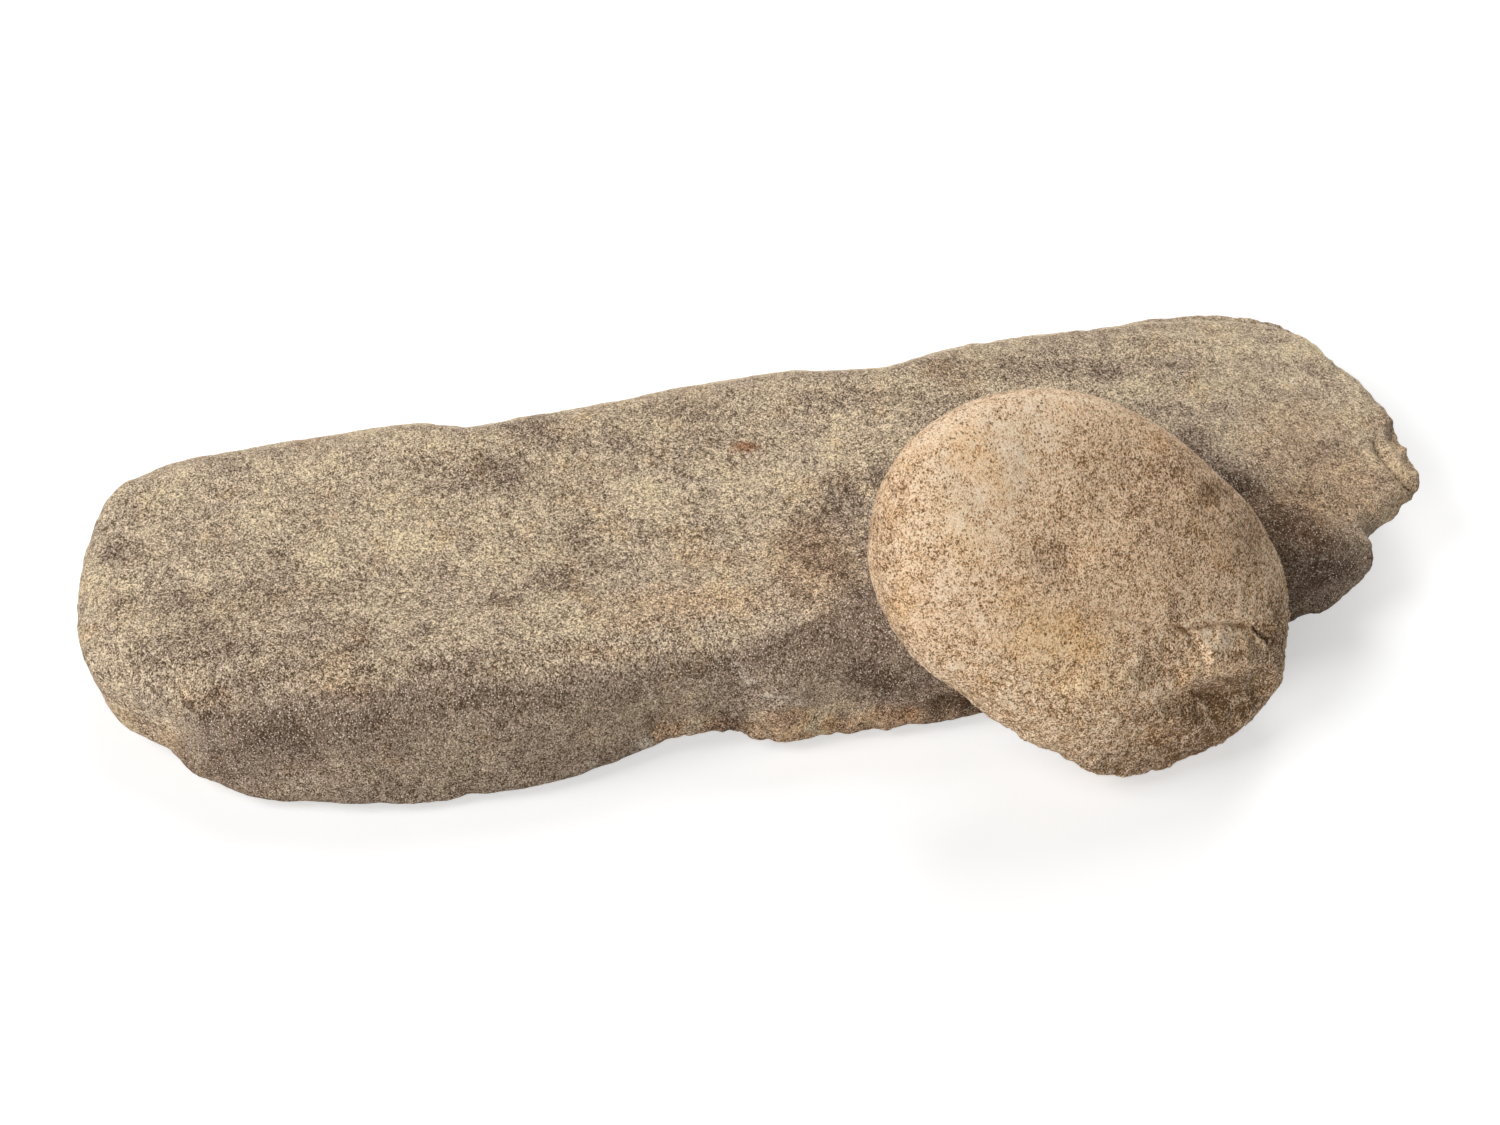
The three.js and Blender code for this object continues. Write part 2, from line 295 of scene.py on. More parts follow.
HAND_DENTS = (
    ((1158, 672), (26, 18), -2.2), ((1216, 702), (56, 20), -4.6), ((1262, 688), (18, 24), -2.6),
    ((1226, 654), (34, 22), 2.6), ((1150, 738), (40, 14), -2.0), ((1095, 768), (18, 12), 1.2),
    ((1100, 690), (40, 16), 1.0), ((1190, 738), (40, 12), 0.8), ((1165, 770), (18, 10), 1.2),
    ((1060, 556), (34, 26), -1.4), ((898, 490), (9, 12), -0.9), ((1132, 488), (50, 40), -1.2),
    ((970, 470), (60, 60), 1.0), ((1025, 742), (40, 10), 1.6), ((1140, 772), (40, 9), 1.2),
)

# Marks in a skin's colour: middle and reach in pixels, and strength. Dark and pale marks also hold painted
# shade and painted light
# Dark marks: partly dark patina, partly painted shade: the hand stone's shadow on the slab to its right,
# shade along its left side and at the slab's foot beside it, and shade where the light falls off towards
# the slab's left end
SLAB_DARK_AND_SHADE = (
    ((122, 555), (30, 24), 0.8), ((210, 640), (76, 32), 0.7), ((250, 598), (50, 34), 0.6),
    ((335, 592), (32, 16), 0.4), ((340, 628), (40, 12), 0.5), ((500, 472), (55, 20), 0.8),
    ((270, 744), (80, 34), 0.3), ((250, 680), (60, 14), 0.6), ((420, 632), (24, 12), 0.5),
    ((580, 536), (22, 18), 0.9), ((722, 728), (26, 10), 1.0), ((690, 412), (50, 12), 0.7),
    ((180, 606), (34, 14), 0.7), ((210, 550), (60, 20), 0.4), ((580, 438), (16, 14), 0.6),
    ((425, 462), (30, 14), 0.5), ((545, 440), (30, 14), 0.8), ((520, 424), (40, 9), 0.6),
    ((625, 440), (20, 12), 0.5), ((655, 414), (28, 9), 0.4), ((705, 440), (28, 12), 0.4),
    ((840, 398), (60, 10), 0.4), ((1000, 366), (90, 14), 0.5), ((900, 395), (30, 10), 0.5),
    ((1090, 368), (60, 13), 0.6), ((1160, 366), (40, 10), 0.4), ((1150, 410), (26, 14), 0.3),
    ((1190, 446), (26, 26), 0.7), ((560, 580), (42, 18), 0.9), ((500, 656), (26, 12), 0.7),
    ((500, 600), (34, 14), 0.5), ((660, 536), (28, 12), 0.6), ((700, 532), (30, 12), 0.3),
    ((843, 505), (26, 42), 1.0), ((856, 568), (40, 46), 1.0), ((802, 592), (26, 15), 0.4),
    ((150, 662), (30, 15), 0.5), ((120, 602), (16, 15), 0.4), ((1262, 508), (44, 30), 0.7),
    ((1236, 484), (26, 26), 0.6), ((900, 600), (30, 34), 0.3), ((815, 540), (36, 42), 0.9),
    ((820, 516), (20, 20), 0.8), ((420, 668), (100, 16), 0.5), ((1276, 516), (54, 26), 0.7),
    ((962, 703), (34, 16), 1.0), ((208, 704), (34, 22), 0.8), ((1330, 572), (34, 14), 0.4),
    ((882, 480), (18, 26), 0.8), ((866, 588), (20, 16), 0.9), ((866, 680), (44, 20), 0.7),
    ((359, 650), (60, 18), 0.5), ((170, 690), (34, 16), 0.3), ((300, 640), (40, 16), 0.4),
    ((1250, 486), (26, 26), 0.7), ((700, 664), (46, 16), 0.5), ((1310, 490), (34, 16), 0.5),
    ((315, 664), (66, 14), 0.4), ((450, 484), (36, 20), 0.3), ((592, 562), (46, 14), 0.4),
    ((1330, 455), (30, 24), 0.4), ((1262, 418), (18, 12), 0.3), ((1334, 503), (18, 12), 0.6),
)
# Pale marks: partly paler stone, partly painted light: a lit ledge by the crack beside the hand stone,
# bright rims along the back and left edges, and faces at the right end that the lamps light too little
SLAB_PALE_AND_LIT = (
    ((410, 545), (46, 26), 0.9), ((540, 520), (42, 18), 0.4), ((760, 480), (62, 15), 0.9),
    ((640, 496), (50, 26), 0.9), ((802, 470), (30, 10), 0.7), ((310, 464), (66, 18), 1.0),
    ((175, 470), (32, 10), 0.4), ((845, 420), (30, 12), 0.9), ((825, 446), (22, 22), 0.9),
    ((400, 440), (60, 14), 1.0), ((480, 556), (34, 12), 0.9), ((1200, 392), (22, 26), 0.8),
    ((1130, 388), (40, 12), 0.6), ((360, 704), (34, 10), 0.9), ((780, 728), (24, 9), 0.7),
    ((740, 652), (16, 12), 0.6), ((530, 630), (30, 10), 0.6), ((330, 560), (20, 14), 0.7),
    ((460, 774), (30, 10), 0.5), ((612, 736), (40, 14), 0.6), ((288, 458), (34, 10), 0.4),
    ((92, 600), (14, 60), 0.7), ((110, 500), (16, 30), 0.4), ((702, 400), (30, 10), 0.3),
    ((1290, 380), (22, 15), 0.5), ((1232, 350), (42, 10), 0.4), ((1330, 400), (22, 20), 0.3),
    ((1260, 430), (26, 18), 0.5), ((1388, 508), (24, 22), 0.5), ((1400, 462), (16, 24), 0.5),
    ((868, 603), (24, 10), 1.0), ((832, 708), (50, 10), 0.5), ((1290, 350), (90, 16), 0.9),
    ((1350, 400), (34, 40), 0.5), ((690, 600), (80, 16), 0.5), ((1150, 330), (60, 8), 0.5),
)
SLAB_WARM = (
    ((810, 560), (60, 50), 0.8), ((1290, 440), (60, 50), 0.6), ((950, 714), (70, 14), 1.0),
    ((700, 600), (100, 20), 0.8), ((640, 622), (62, 12), 0.5), ((722, 560), (62, 14), 0.5),
    ((820, 560), (26, 26), 0.6), ((560, 430), (30, 10), 0.3), ((350, 690), (52, 12), 0.5),
    ((600, 650), (52, 8), 0.5), ((1335, 485), (70, 50), 0.8), ((1390, 480), (34, 50), 0.4),
    ((1290, 516), (72, 42), 1.0), ((962, 700), (50, 24), 1.0),
)
SLAB_STAIN = (((745, 446), (18, 7), 0.9), ((733, 449), (8, 4), 0.5))
SLAB_CHALK = (
    ((645, 743), (9, 6), 1.0), ((1291, 382), (4, 4), 0.9), ((736, 665), (4, 5), 0.8),
    ((742, 673), (5, 5), 0.8), ((751, 681), (6, 5), 0.9), ((768, 697), (8, 3), 0.9),
    ((784, 698), (9, 4), 0.8), ((802, 703), (9, 3), 0.8), ((700, 480), (18, 5), 0.35),
    ((594, 763), (10, 5), 0.4), ((1258, 428), (9, 6), 0.35), ((1276, 440), (9, 5), 0.35),
    ((1180, 372), (8, 4), 0.3),
)
HAND_OCHRE = (
    ((1060, 640), (70, 40), 0.9), ((950, 530), (30, 40), 0.3), ((1020, 600), (30, 30), 0.5),
    ((985, 690), (20, 12), 0.4), ((900, 600), (14, 40), 0.5), ((1230, 720), (20, 20), 0.3),
    ((1080, 680), (60, 24), 0.7), ((975, 550), (34, 30), 0.4),
)
# Pale marks: partly paler stone, partly painted light: the top left that faces the left lamp, and the lit
# face of the raised block under the crack
HAND_PALE_AND_LIT = (
    ((972, 520), (48, 80), 0.7), ((985, 445), (100, 60), 0.9), ((1060, 405), (90, 22), 1.0),
    ((1222, 638), (36, 16), 1.2), ((1222, 545), (16, 20), 0.5), ((950, 665), (12, 8), 0.7),
    ((947, 595), (20, 50), 0.7), ((990, 492), (44, 34), 1.0), ((1040, 646), (50, 28), 0.8),
    ((980, 622), (18, 14), 0.6),
)
# Dark marks: partly brown smudges, partly painted shade: the scoop under the raised block, and the stone's
# right side, upper right edge and foot away from the left lamp
HAND_DARK_AND_SHADE = (
    ((898, 490), (8, 9), 0.4), ((1055, 560), (30, 28), 0.35), ((1182, 600), (22, 22), 0.3),
    ((1174, 612), (13, 16), 0.7), ((1200, 540), (50, 60), 0.2), ((1236, 698), (50, 28), 1.5),
    ((1155, 512), (30, 44), 0.45), ((1120, 762), (60, 18), 0.8), ((1155, 722), (40, 18), 0.6),
    ((1200, 730), (64, 26), 1.0), ((1276, 640), (14, 50), 0.9), ((1170, 470), (40, 24), 0.4),
    ((1196, 750), (66, 20), 1.0), ((1126, 480), (18, 14), 0.3), ((1248, 528), (26, 50), 0.6),
    ((1263, 676), (18, 24), 0.9), ((1216, 492), (26, 20), 0.7), ((1216, 742), (36, 16), 0.5),
    ((888, 550), (14, 70), 0.3), ((892, 655), (22, 26), 0.5), ((1250, 650), (26, 10), 0.5),
    ((1060, 585), (26, 14), 0.3), ((1160, 660), (26, 40), 0.35), ((1238, 658), (8, 9), 0.6),
    ((1222, 598), (24, 14), 0.4), ((1262, 632), (12, 10), 0.9), ((900, 645), (16, 30), 0.4),
    ((1140, 475), (16, 20), 0.3),
)

# Borders, as pixels along them: the top of the dark crust on the slab's front, which right of the hand
# stone also paints its shadow on the slab, where the crust grows thinner as painted light on the low front,
# the top of the raw stone under it, and the edges of the slab where raw stone shows
CRUST_TOP = (
    (130, 730), (165, 704), (200, 712), (240, 706), (300, 694), (400, 684), (500, 682), (560, 678),
    (620, 670), (700, 658), (739, 644), (777, 634), (810, 620), (846, 600), (876, 580), (902, 562),
    (1190, 438), (1215, 452), (1245, 474), (1270, 496), (1300, 512), (1345, 530), (1372, 548),
)
CRUST_FOOT = (
    (190, 790), (300, 756), (400, 734), (520, 704), (620, 688), (800, 664), (870, 680),
    (900, 770), (1250, 650), (1290, 610), (1330, 588), (1380, 570),
)
RAW_TOP = (
    (640, 790), (659, 727), (698, 718), (714, 716), (742, 724), (759, 715), (784, 704), (798, 707),
    (839, 721), (881, 707), (915, 706), (935, 735),
)
RAW_RIMS = (
    ((88, 684), (110, 704), (155, 738), (200, 776), (240, 797), (262, 800), (330, 812)),
    ((1390, 530), (1410, 500), (1422, 480), (1405, 440), (1385, 415)),
)

# In pixels: the borders' soft edges, the raw rims' width, and where the crust begins and is full
CRUST_EDGE, CRUST_FOOT_EDGE, RAW_EDGE, RIM_WIDTH = 17, 26, 8, 9
CRUST_LEFT = (155, 215)

# How much the crust loses at its foot, as painted light, and on raw stone, and how raw the rims and dusty
# foot are
CRUST_THINS, CRUST_GONE = 0.5, 0.9
RIM_RAW, DUST_RAW = 0.5, 0.3


def fade(values, low, high):
    """Rises smoothly from 0 at low to 1 at high."""
    t = np.clip((values - low) / (high - low), 0, 1)
    return t * t * (3 - 2 * t)


def rough(points, width, seed, octaves=3):
    """Smooth noise of about -1 to 1, with lumps about width millimetres across."""
    shift = Vector([seed * step for step in SEED_STEPS])
    spots = (Vector(point) / width + shift for point in points)
    return np.array([noise.fractal(spot, WAVE_FADE, WAVE_FINER, octaves) for spot in spots])


def waves(points, width, height, seed):
    """Smooth waves of a width and height in millimetres."""
    return height * rough(points, width, seed)


def wobble(points, width, seeds, pixels):
    """How far cracks and marks stray across and down, in pixels."""
    return np.stack([rough(points, width, seed) for seed in seeds], 1) * pixels


def heading(turn, rise):
    """The way out from the stones, turned from the front and raised from the floor, in degrees."""
    turn, rise = math.radians(turn), math.radians(rise)
    return Vector((math.sin(turn) * math.cos(rise), -math.cos(turn) * math.cos(rise), math.sin(rise)))


def in_photo(points):
    """The photograph's pixels where points in millimetres lie."""
    back = np.array(heading(CAMERA_TURN, CAMERA_RISE))
    right = np.array(heading(CAMERA_TURN + 90, 0))
    up = np.cross(back, right)
    offset = points - np.array(CAMERA_AIM)
    scale = LENS / SENSOR * PHOTO_WIDTH / (CAMERA_AWAY - offset @ back)
    across = PHOTO_WIDTH / 2 + offset @ right * scale
    down = PHOTO_HEIGHT / 2 - offset @ up * scale
    return np.stack([across, down], 1)


def facing(normals, low, high):
    """How much a skin faces the camera, from 0 at low to 1 at high."""
    return fade(normals @ np.array(heading(CAMERA_TURN, CAMERA_RISE)), low, high)


def from_line(seen, line):
    """How far each pixel is from a jointed line, and the way that it lies from it."""
    nearest = np.full(len(seen), np.inf)
    offset = np.zeros_like(seen)
    for a, b in zip(np.array(line[:-1], float), np.array(line[1:], float)):
        along = np.clip((seen - a) @ (b - a) / ((b - a) @ (b - a)), 0, 1)
        away = seen - (a + along[:, None] * (b - a))
        distance = np.linalg.norm(away, axis=1)
        closer = distance < nearest
        nearest[closer] = distance[closer]
        offset[closer] = away[closer]
    return nearest, offset


def bell(distance, width):
    """1 where distance is 0, and soon 0 past the width."""
    return np.exp(-((distance / width) ** 2))


def cracks(seen, table):
    """Outward movement, in millimetres, for a table of cracks."""
    move = np.zeros(len(seen))
    for line, half, depth, lip, side in table:
        distance, offset = from_line(seen, line)
        towards = offset @ (np.array(side, float) / np.linalg.norm(side))
        move -= depth * bell(distance, half)
        move += lip * bell(distance - LIP_AWAY * half, LIP_WIDTH * half) * fade(towards, 0, half)
    return move


def round_marks(seen, table):
    """How strongly each soft round mark of a table covers each pixel."""
    for middle, reach, strength in table:
        distance = np.linalg.norm((seen - middle) / reach, axis=1)
        yield strength * (1 - fade(distance, MARK_CORE, MARK_END))


def dents(seen, table):
    """Outward movement, in millimetres, for a table of dents and swellings."""
    return sum(round_marks(seen, table))


def marks(seen, table):
    """How strongly a table of marks covers each pixel."""
    return np.maximum.reduce(list(round_marks(seen, table)))


def mottled(values, points, seed):
    """A mask broken up into small flecks."""
    flecks = fade(rough(points, FLECK_WIDTH, seed), *FLECK_NOISE)
    return values * (FLECK_LEAST + FLECK_MORE * flecks)


def below(seen, border, soft):
    """1 below a border in the photograph and 0 above it, over a soft edge in pixels."""
    across, down = np.array(border, float).T
    return fade(seen[:, 1] - np.interp(seen[:, 0], across, down), -soft, soft)


def join_flat_foot(mesh):
    """Joins the small faces of a flat resting face, which need no detail."""
    shell = bmesh.new()
    shell.from_mesh(mesh)
    low = [face for face in shell.faces if face.calc_center_median().z < FOOT_HEIGHT * MM]
    foot = {face for face in low if face.normal.z < FOOT_LEVEL}
    inner = [edge for edge in shell.edges if foot.issuperset(edge.link_faces)]
    corners = list({corner for edge in inner for corner in edge.verts})
    bmesh.ops.dissolve_limit(shell, angle_limit=math.radians(FOOT_BEND), verts=corners, edges=inner)
    bmesh.ops.triangulate(shell, faces=[face for face in shell.faces if len(face.verts) > 4])
    shell.to_mesh(mesh)
    shell.free()


def merged_copy(node):
    """A copy of a CAD node's mesh, with its points merged."""
    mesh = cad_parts[node].data.copy()
    mesh.materials.clear()
    shell = bmesh.new()
    shell.from_mesh(mesh)
    bmesh.ops.remove_doubles(shell, verts=shell.verts, dist=MERGE)
    shell.to_mesh(mesh)
    shell.free()
    return mesh


def even_copy(node, name, voxel, steps):
    """A copy of a CAD node with small even faces, its facets smoothed away."""
    mesh = merged_copy(node)
    piece = bpy.data.objects.new(name, mesh)
    bpy.context.scene.collection.objects.link(piece)
    remesh = piece.modifiers.new("Even faces", "REMESH")
    remesh.mode = "VOXEL"
    remesh.voxel_size = voxel
    smooth = piece.modifiers.new("Facets away", "SMOOTH")
    smooth.factor = SMOOTHING
    smooth.iterations = steps
    settled = bpy.data.meshes.new_from_object(piece.evaluated_get(bpy.context.evaluated_depsgraph_get()))
    piece.modifiers.clear()
    piece.data = settled
    settled.name = name
    bpy.data.meshes.remove(mesh)
    join_flat_foot(settled)
    settled.shade_smooth()
    return piece


class Skin:
    """A mesh's points in millimetres, their outward directions, and their pixels in the photograph."""

    def __init__(self, mesh, waver, jags):
        self.mesh = mesh
        self.read()
        self.seen = in_photo(self.points)
        self.waver = wobble(self.points, *waver)
        self.jags = wobble(self.points, *jags)

    def read(self):
        """Reads the points and directions again. The pixels stay those of the unmoved skin."""
        points = np.zeros(len(self.mesh.vertices) * 3, np.float32)
        normals = np.zeros_like(points)
        self.mesh.vertices.foreach_get("co", points)
        self.mesh.vertex_normals.foreach_get("vector", normals)
        self.points = points.reshape(-1, 3).astype(float) / MM
        self.normals = normals.reshape(-1, 3).astype(float)

    def strayed(self, share):
        """The pixels, strayed by a share of the wavering."""
        return self.seen + self.waver * share

    def push(self, move):
        """Moves the mesh outwards by millimetres, and none of it under the ground."""
        points = self.points + self.normals * move[:, None]
        points[:, 2] = np.maximum(points[:, 2], 0)
        self.mesh.vertices.foreach_set("co", (points * MM).astype(np.float32).ravel())
        self.mesh.update()

    def paint(self, name, values):
        """Keeps a mask on the mesh's points for its material to read."""
        layer = self.mesh.attributes.new(name, "FLOAT", "POINT")
        layer.data.foreach_set("value", np.clip(values, 0, MASK_TOP).astype(np.float32))


def slab_zones(skin):
    """Where the slab is flat, rests on the ground, stands upright, has a raw foot, and is rugged."""
    x, _, z = skin.points.T
    _, back, up = skin.normals.T
    flat = fade(up, *FACES_UP)
    resting = fade(-up, *FACES_DOWN) * (1 - fade(z, *ABOVE_GROUND_Z))
    upright = 1 - fade(np.abs(up), *LEVEL)
    foot = below(skin.strayed(RAW_STRAY), RAW_TOP, RAW_EDGE) * fade(-back, *FACES_FRONT)
    foot *= fade(x, *RAW_FOOT_X)
    rugged = np.maximum(foot, fade(x, *BROKEN_END_X) * upright)
    return flat, resting, upright, foot, rugged


def shape_slab(skin, flat, resting, upright, rugged):
    """Wears, cracks and chips the slab's skin, and gives the noise of its fine relief."""
    cracked = cracks(skin.strayed(CRACK_STRAY) + skin.jags, SLAB_CRACKS)
    dented = dents(skin.strayed(SLAB_DENT_STRAY), SLAB_DENTS)
    move = cracked * facing(skin.normals, *CRACKS_SHOW) + dented * facing(skin.normals, *DENTS_SHOW)
    move += waves(skin.points, *SLAB_SWELL)
    move += waves(skin.points, *SLAB_ROLL) * (1 - FLAT_CALMER * flat)
    move += waves(skin.points, *SLAB_SIDE_WAVES) * upright
    move += waves(skin.points, *SLAB_CHIPS) * rugged
    skin.push(move * (1 - resting))
    skin.read()
    fine = rough(skin.points, *SLAB_FINE)
    relief = fine * (SLAB_WORN + SLAB_ROUNDED * (1 - flat) + SLAB_RUGGED * rugged)
    skin.push(relief * (1 - resting))
    return fine


def slab_crust(skin, foot):
    """The dark crust on the slab's front, which grows thinner towards the foot as painted light, and whose
    right end also paints the hand stone's shadow.
    """
    # Right of the hand stone the crust's top runs lower, painting that stone's shadow on the slab
    crust = below(skin.strayed(CRUST_STRAY), CRUST_TOP, CRUST_EDGE)
    crust *= fade(skin.seen[:, 0], *CRUST_LEFT) * facing(skin.normals, *CRUST_SHOWS)
    # Thinner at the foot: painted light where the floor lights the low front
    crust *= 1 - CRUST_THINS * below(skin.strayed(CRUST_FOOT_STRAY), CRUST_FOOT, CRUST_FOOT_EDGE)
    return crust * (1 - CRUST_GONE * foot)


def slab_raw(skin, upright, foot):
    """Raw stone at the slab's foot and along its broken rims, and dust low on its sides."""
    gaps = fade(rough(skin.points, *RAW_GAP_NOISE), *RAW_GAPS)
    rim_away = np.minimum.reduce([from_line(skin.strayed(RAW_STRAY), line)[0] for line in RAW_RIMS])
    rims = RIM_RAW * bell(rim_away, RIM_WIDTH)
    dust = DUST_RAW * upright * (1 - fade(skin.points[:, 2], *ABOVE_DUST_Z))
    return np.maximum.reduce([foot * gaps, rims, dust])


def paint_slab(skin, upright, foot, fine):
    """Paints the slab's masks."""
    shown = facing(skin.normals, *MARKS_SHOW)
    marked = skin.strayed(MARK_STRAY)
    spotted = skin.strayed(SPOT_STRAY)
    calm_end = CALM_END * fade(skin.points[:, 0], *CALM_END_X)
    calm_back = CALM_BACK * fade(skin.points[:, 1], *CALM_BACK_Y)
    # Painted shade in the low spots of the fine relief
    skin.paint("hollow", fade(-fine, *SLAB_SHADED_HOLLOWS))
    skin.paint("crust", slab_crust(skin, foot))
    skin.paint("raw", slab_raw(skin, upright, foot))
    # Dark and pale marks, which hold painted shade and painted light as well as the stone's own patches
    for name, table, seed in zip(("dark", "pale"), (SLAB_DARK_AND_SHADE, SLAB_PALE_AND_LIT), SLAB_FLECKS):
        skin.paint(name, mottled(marks(marked, table) * shown, skin.points, seed))
    # A painted highlight: paler sand along rims that turn from the camera and lean up
    skin.paint("edge", (1 - facing(skin.normals, *RIM_HIGHLIGHT_FACING)) * fade(skin.normals[:, 2], *LEANS_UP))
    skin.paint("warm", marks(marked, SLAB_WARM) * shown)
    skin.paint("stain", marks(spotted, SLAB_STAIN) * shown)
    skin.paint("chalk", marks(spotted, SLAB_CHALK) * shown)
    skin.paint("calm", np.maximum(calm_end, calm_back))


def shape_hand(skin, ragged):
    """Cracks, dents and roughens the hand stone's skin, and gives the noise of its hollows."""
    move = cracks(skin.strayed(CRACK_STRAY) + skin.jags, HAND_CRACKS)
    move += dents(skin.strayed(HAND_DENT_STRAY), HAND_DENTS)
    move *= facing(skin.normals, *CRACKS_SHOW)
    move += waves(skin.points, *HAND_SWELL) + waves(skin.points, *HAND_ROLL)
    hidden = fade(skin.normals[:, 1], *FACES_BACK)
    skin.push(move * (1 - hidden))
    skin.read()
    lumps = rough(skin.points, *HAND_LUMPS)
    grit = rough(skin.points, *HAND_GRIT)
    relief = lumps * (LUMPS_WORN + LUMPS_RAGGED * ragged) + grit * (GRIT_WORN + GRIT_RAGGED * ragged)
    skin.push(relief * (1 - BACK_CALMER * hidden))
    return lumps * HOLLOW_LUMPS + grit * HOLLOW_GRIT


def paint_hand(skin, ragged, fine):
    """Paints the hand stone's masks."""
    shown = facing(skin.normals, *MARKS_SHOW)
    marked = skin.strayed(HAND_MARK_STRAY)
    ochre = marks(skin.strayed(MARK_STRAY), HAND_OCHRE)
    # Painted shade in the low spots of the fine relief
    skin.paint("hollow", fade(-fine, *HAND_SHADED_HOLLOWS) * (HOLLOW_SHADE_WORN + HOLLOW_SHADE_RAGGED * ragged))
    # Dark and pale marks, which hold painted shade and painted light as well as the stone's own patches
    for name, table, seed in zip(("dark", "pale"), (HAND_DARK_AND_SHADE, HAND_PALE_AND_LIT), HAND_FLECKS):
        skin.paint(name, mottled(marks(marked, table) * shown, skin.points, seed))
    skin.paint("ochre", ochre * shown)
    skin.paint("calm", HAND_CALM * (1 - ragged))


def add(tree, kind, inputs=None, **settings):
    """Adds a node. Inputs are values, or sockets to join to."""
    node = tree.nodes.new(kind)
    for name, value in settings.items():
        setattr(node, name, value)
    for name, value in (inputs or {}).items():
        if isinstance(value, bpy.types.NodeSocket):
            tree.links.new(value, node.inputs[name])
        else:
            node.inputs[name].default_value = value
    return node


def calc(tree, operation, *values):
    """A Math node's result."""
    return add(tree, "ShaderNodeMath", dict(enumerate(values)), operation=operation).outputs[0]


def blend(tree, factor, first, second, blend_type="MIX"):
    """The colour between two others."""
    inputs = {0: factor, 6: first, 7: second}
    return add(tree, "ShaderNodeMix", inputs, data_type="RGBA", blend_type=blend_type).outputs[2]


def between(tree, value, low, high, to_low=0.0, to_high=1.0):
    """A Map Range node's smooth result."""
    inputs = {"Value": value, "From Min": low, "From Max": high, "To Min": to_low, "To Max": to_high}
    return add(tree, "ShaderNodeMapRange", inputs, interpolation_type="SMOOTHSTEP").outputs[0]


def mask(tree, name):
    """A mask that the mesh carries."""
    return add(tree, "ShaderNodeAttribute", attribute_name=name).outputs["Fac"]


def group_tree(name, inputs, outputs):
    """An empty node group, its inputs and its outputs."""
    tree = bpy.data.node_groups.new(name, "ShaderNodeTree")
    for label, kind, default in inputs:
        socket = tree.interface.new_socket(name=label, in_out="INPUT", socket_type="NodeSocket" + kind)
        if default is not None:
            socket.default_value = default
    for label, kind in outputs:
        tree.interface.new_socket(name=label, in_out="OUTPUT", socket_type="NodeSocket" + kind)
    return tree, tree.nodes.new("NodeGroupInput").outputs, tree.nodes.new("NodeGroupOutput").inputs


def place(tree, group, inputs):
    """Puts a node group into a material."""
    return add(tree, "ShaderNodeGroup", inputs, node_tree=group).outputs


def empty_material(name):
    """A material with no nodes, and its tree."""
    material = bpy.data.materials.new(name)
    material.use_nodes = True
    material.node_tree.nodes.clear()
    return material, material.node_tree


